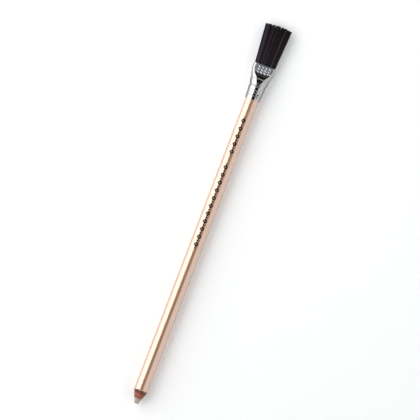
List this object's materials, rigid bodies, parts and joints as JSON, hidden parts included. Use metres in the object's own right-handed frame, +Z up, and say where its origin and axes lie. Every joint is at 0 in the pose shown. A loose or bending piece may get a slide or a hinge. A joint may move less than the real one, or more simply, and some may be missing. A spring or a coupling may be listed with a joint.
{
  "type": "wood-cased eraser pencil with brush",
  "caption": "Wood-cased eraser pencil: a long round lacquered barrel sharpened at the eraser end, with a flat bristle brush in a crimped metal ferrule.",
  "frame": {"origin": "under the middle of the whole length, on the surface that the ferrule rests on", "axes": "+X along the pencil from the eraser point to the brush, +Z up, with the flat of the brush facing up"},
  "size_m": [0.2102, 0.0145, 0.0089],
  "materials": {
    "eraser_rubber": "matt warm-grey vulcanised eraser rubber, slightly dusty",
    "casing_wood": "bare red-brown pencil wood, cut by a sharpener",
    "barrel_lacquer": "pearl rose-gold gloss lacquer",
    "ferrule_metal": "bright nickel-plated sheet, rolled and crimped",
    "setting_resin": "hardened resin glue",
    "bristles": "stiff near-black bristle with a faint warm sheen"
  },
  "bodies": {
    "root": {"eraser_core": "eraser_rubber", "casing_slat_upper": "casing_wood", "casing_slat_lower": "casing_wood", "lacquer_coat": "barrel_lacquer", "ferrule": "ferrule_metal", "bristle_setting": "setting_resin", "bristle_lock_1": "bristles", "bristle_lock_2": "bristles", "bristle_lock_3": "bristles", "bristle_lock_4": "bristles", "bristle_lock_5": "bristles", "bristle_lock_6": "bristles"}
  },
  "joints": []
}
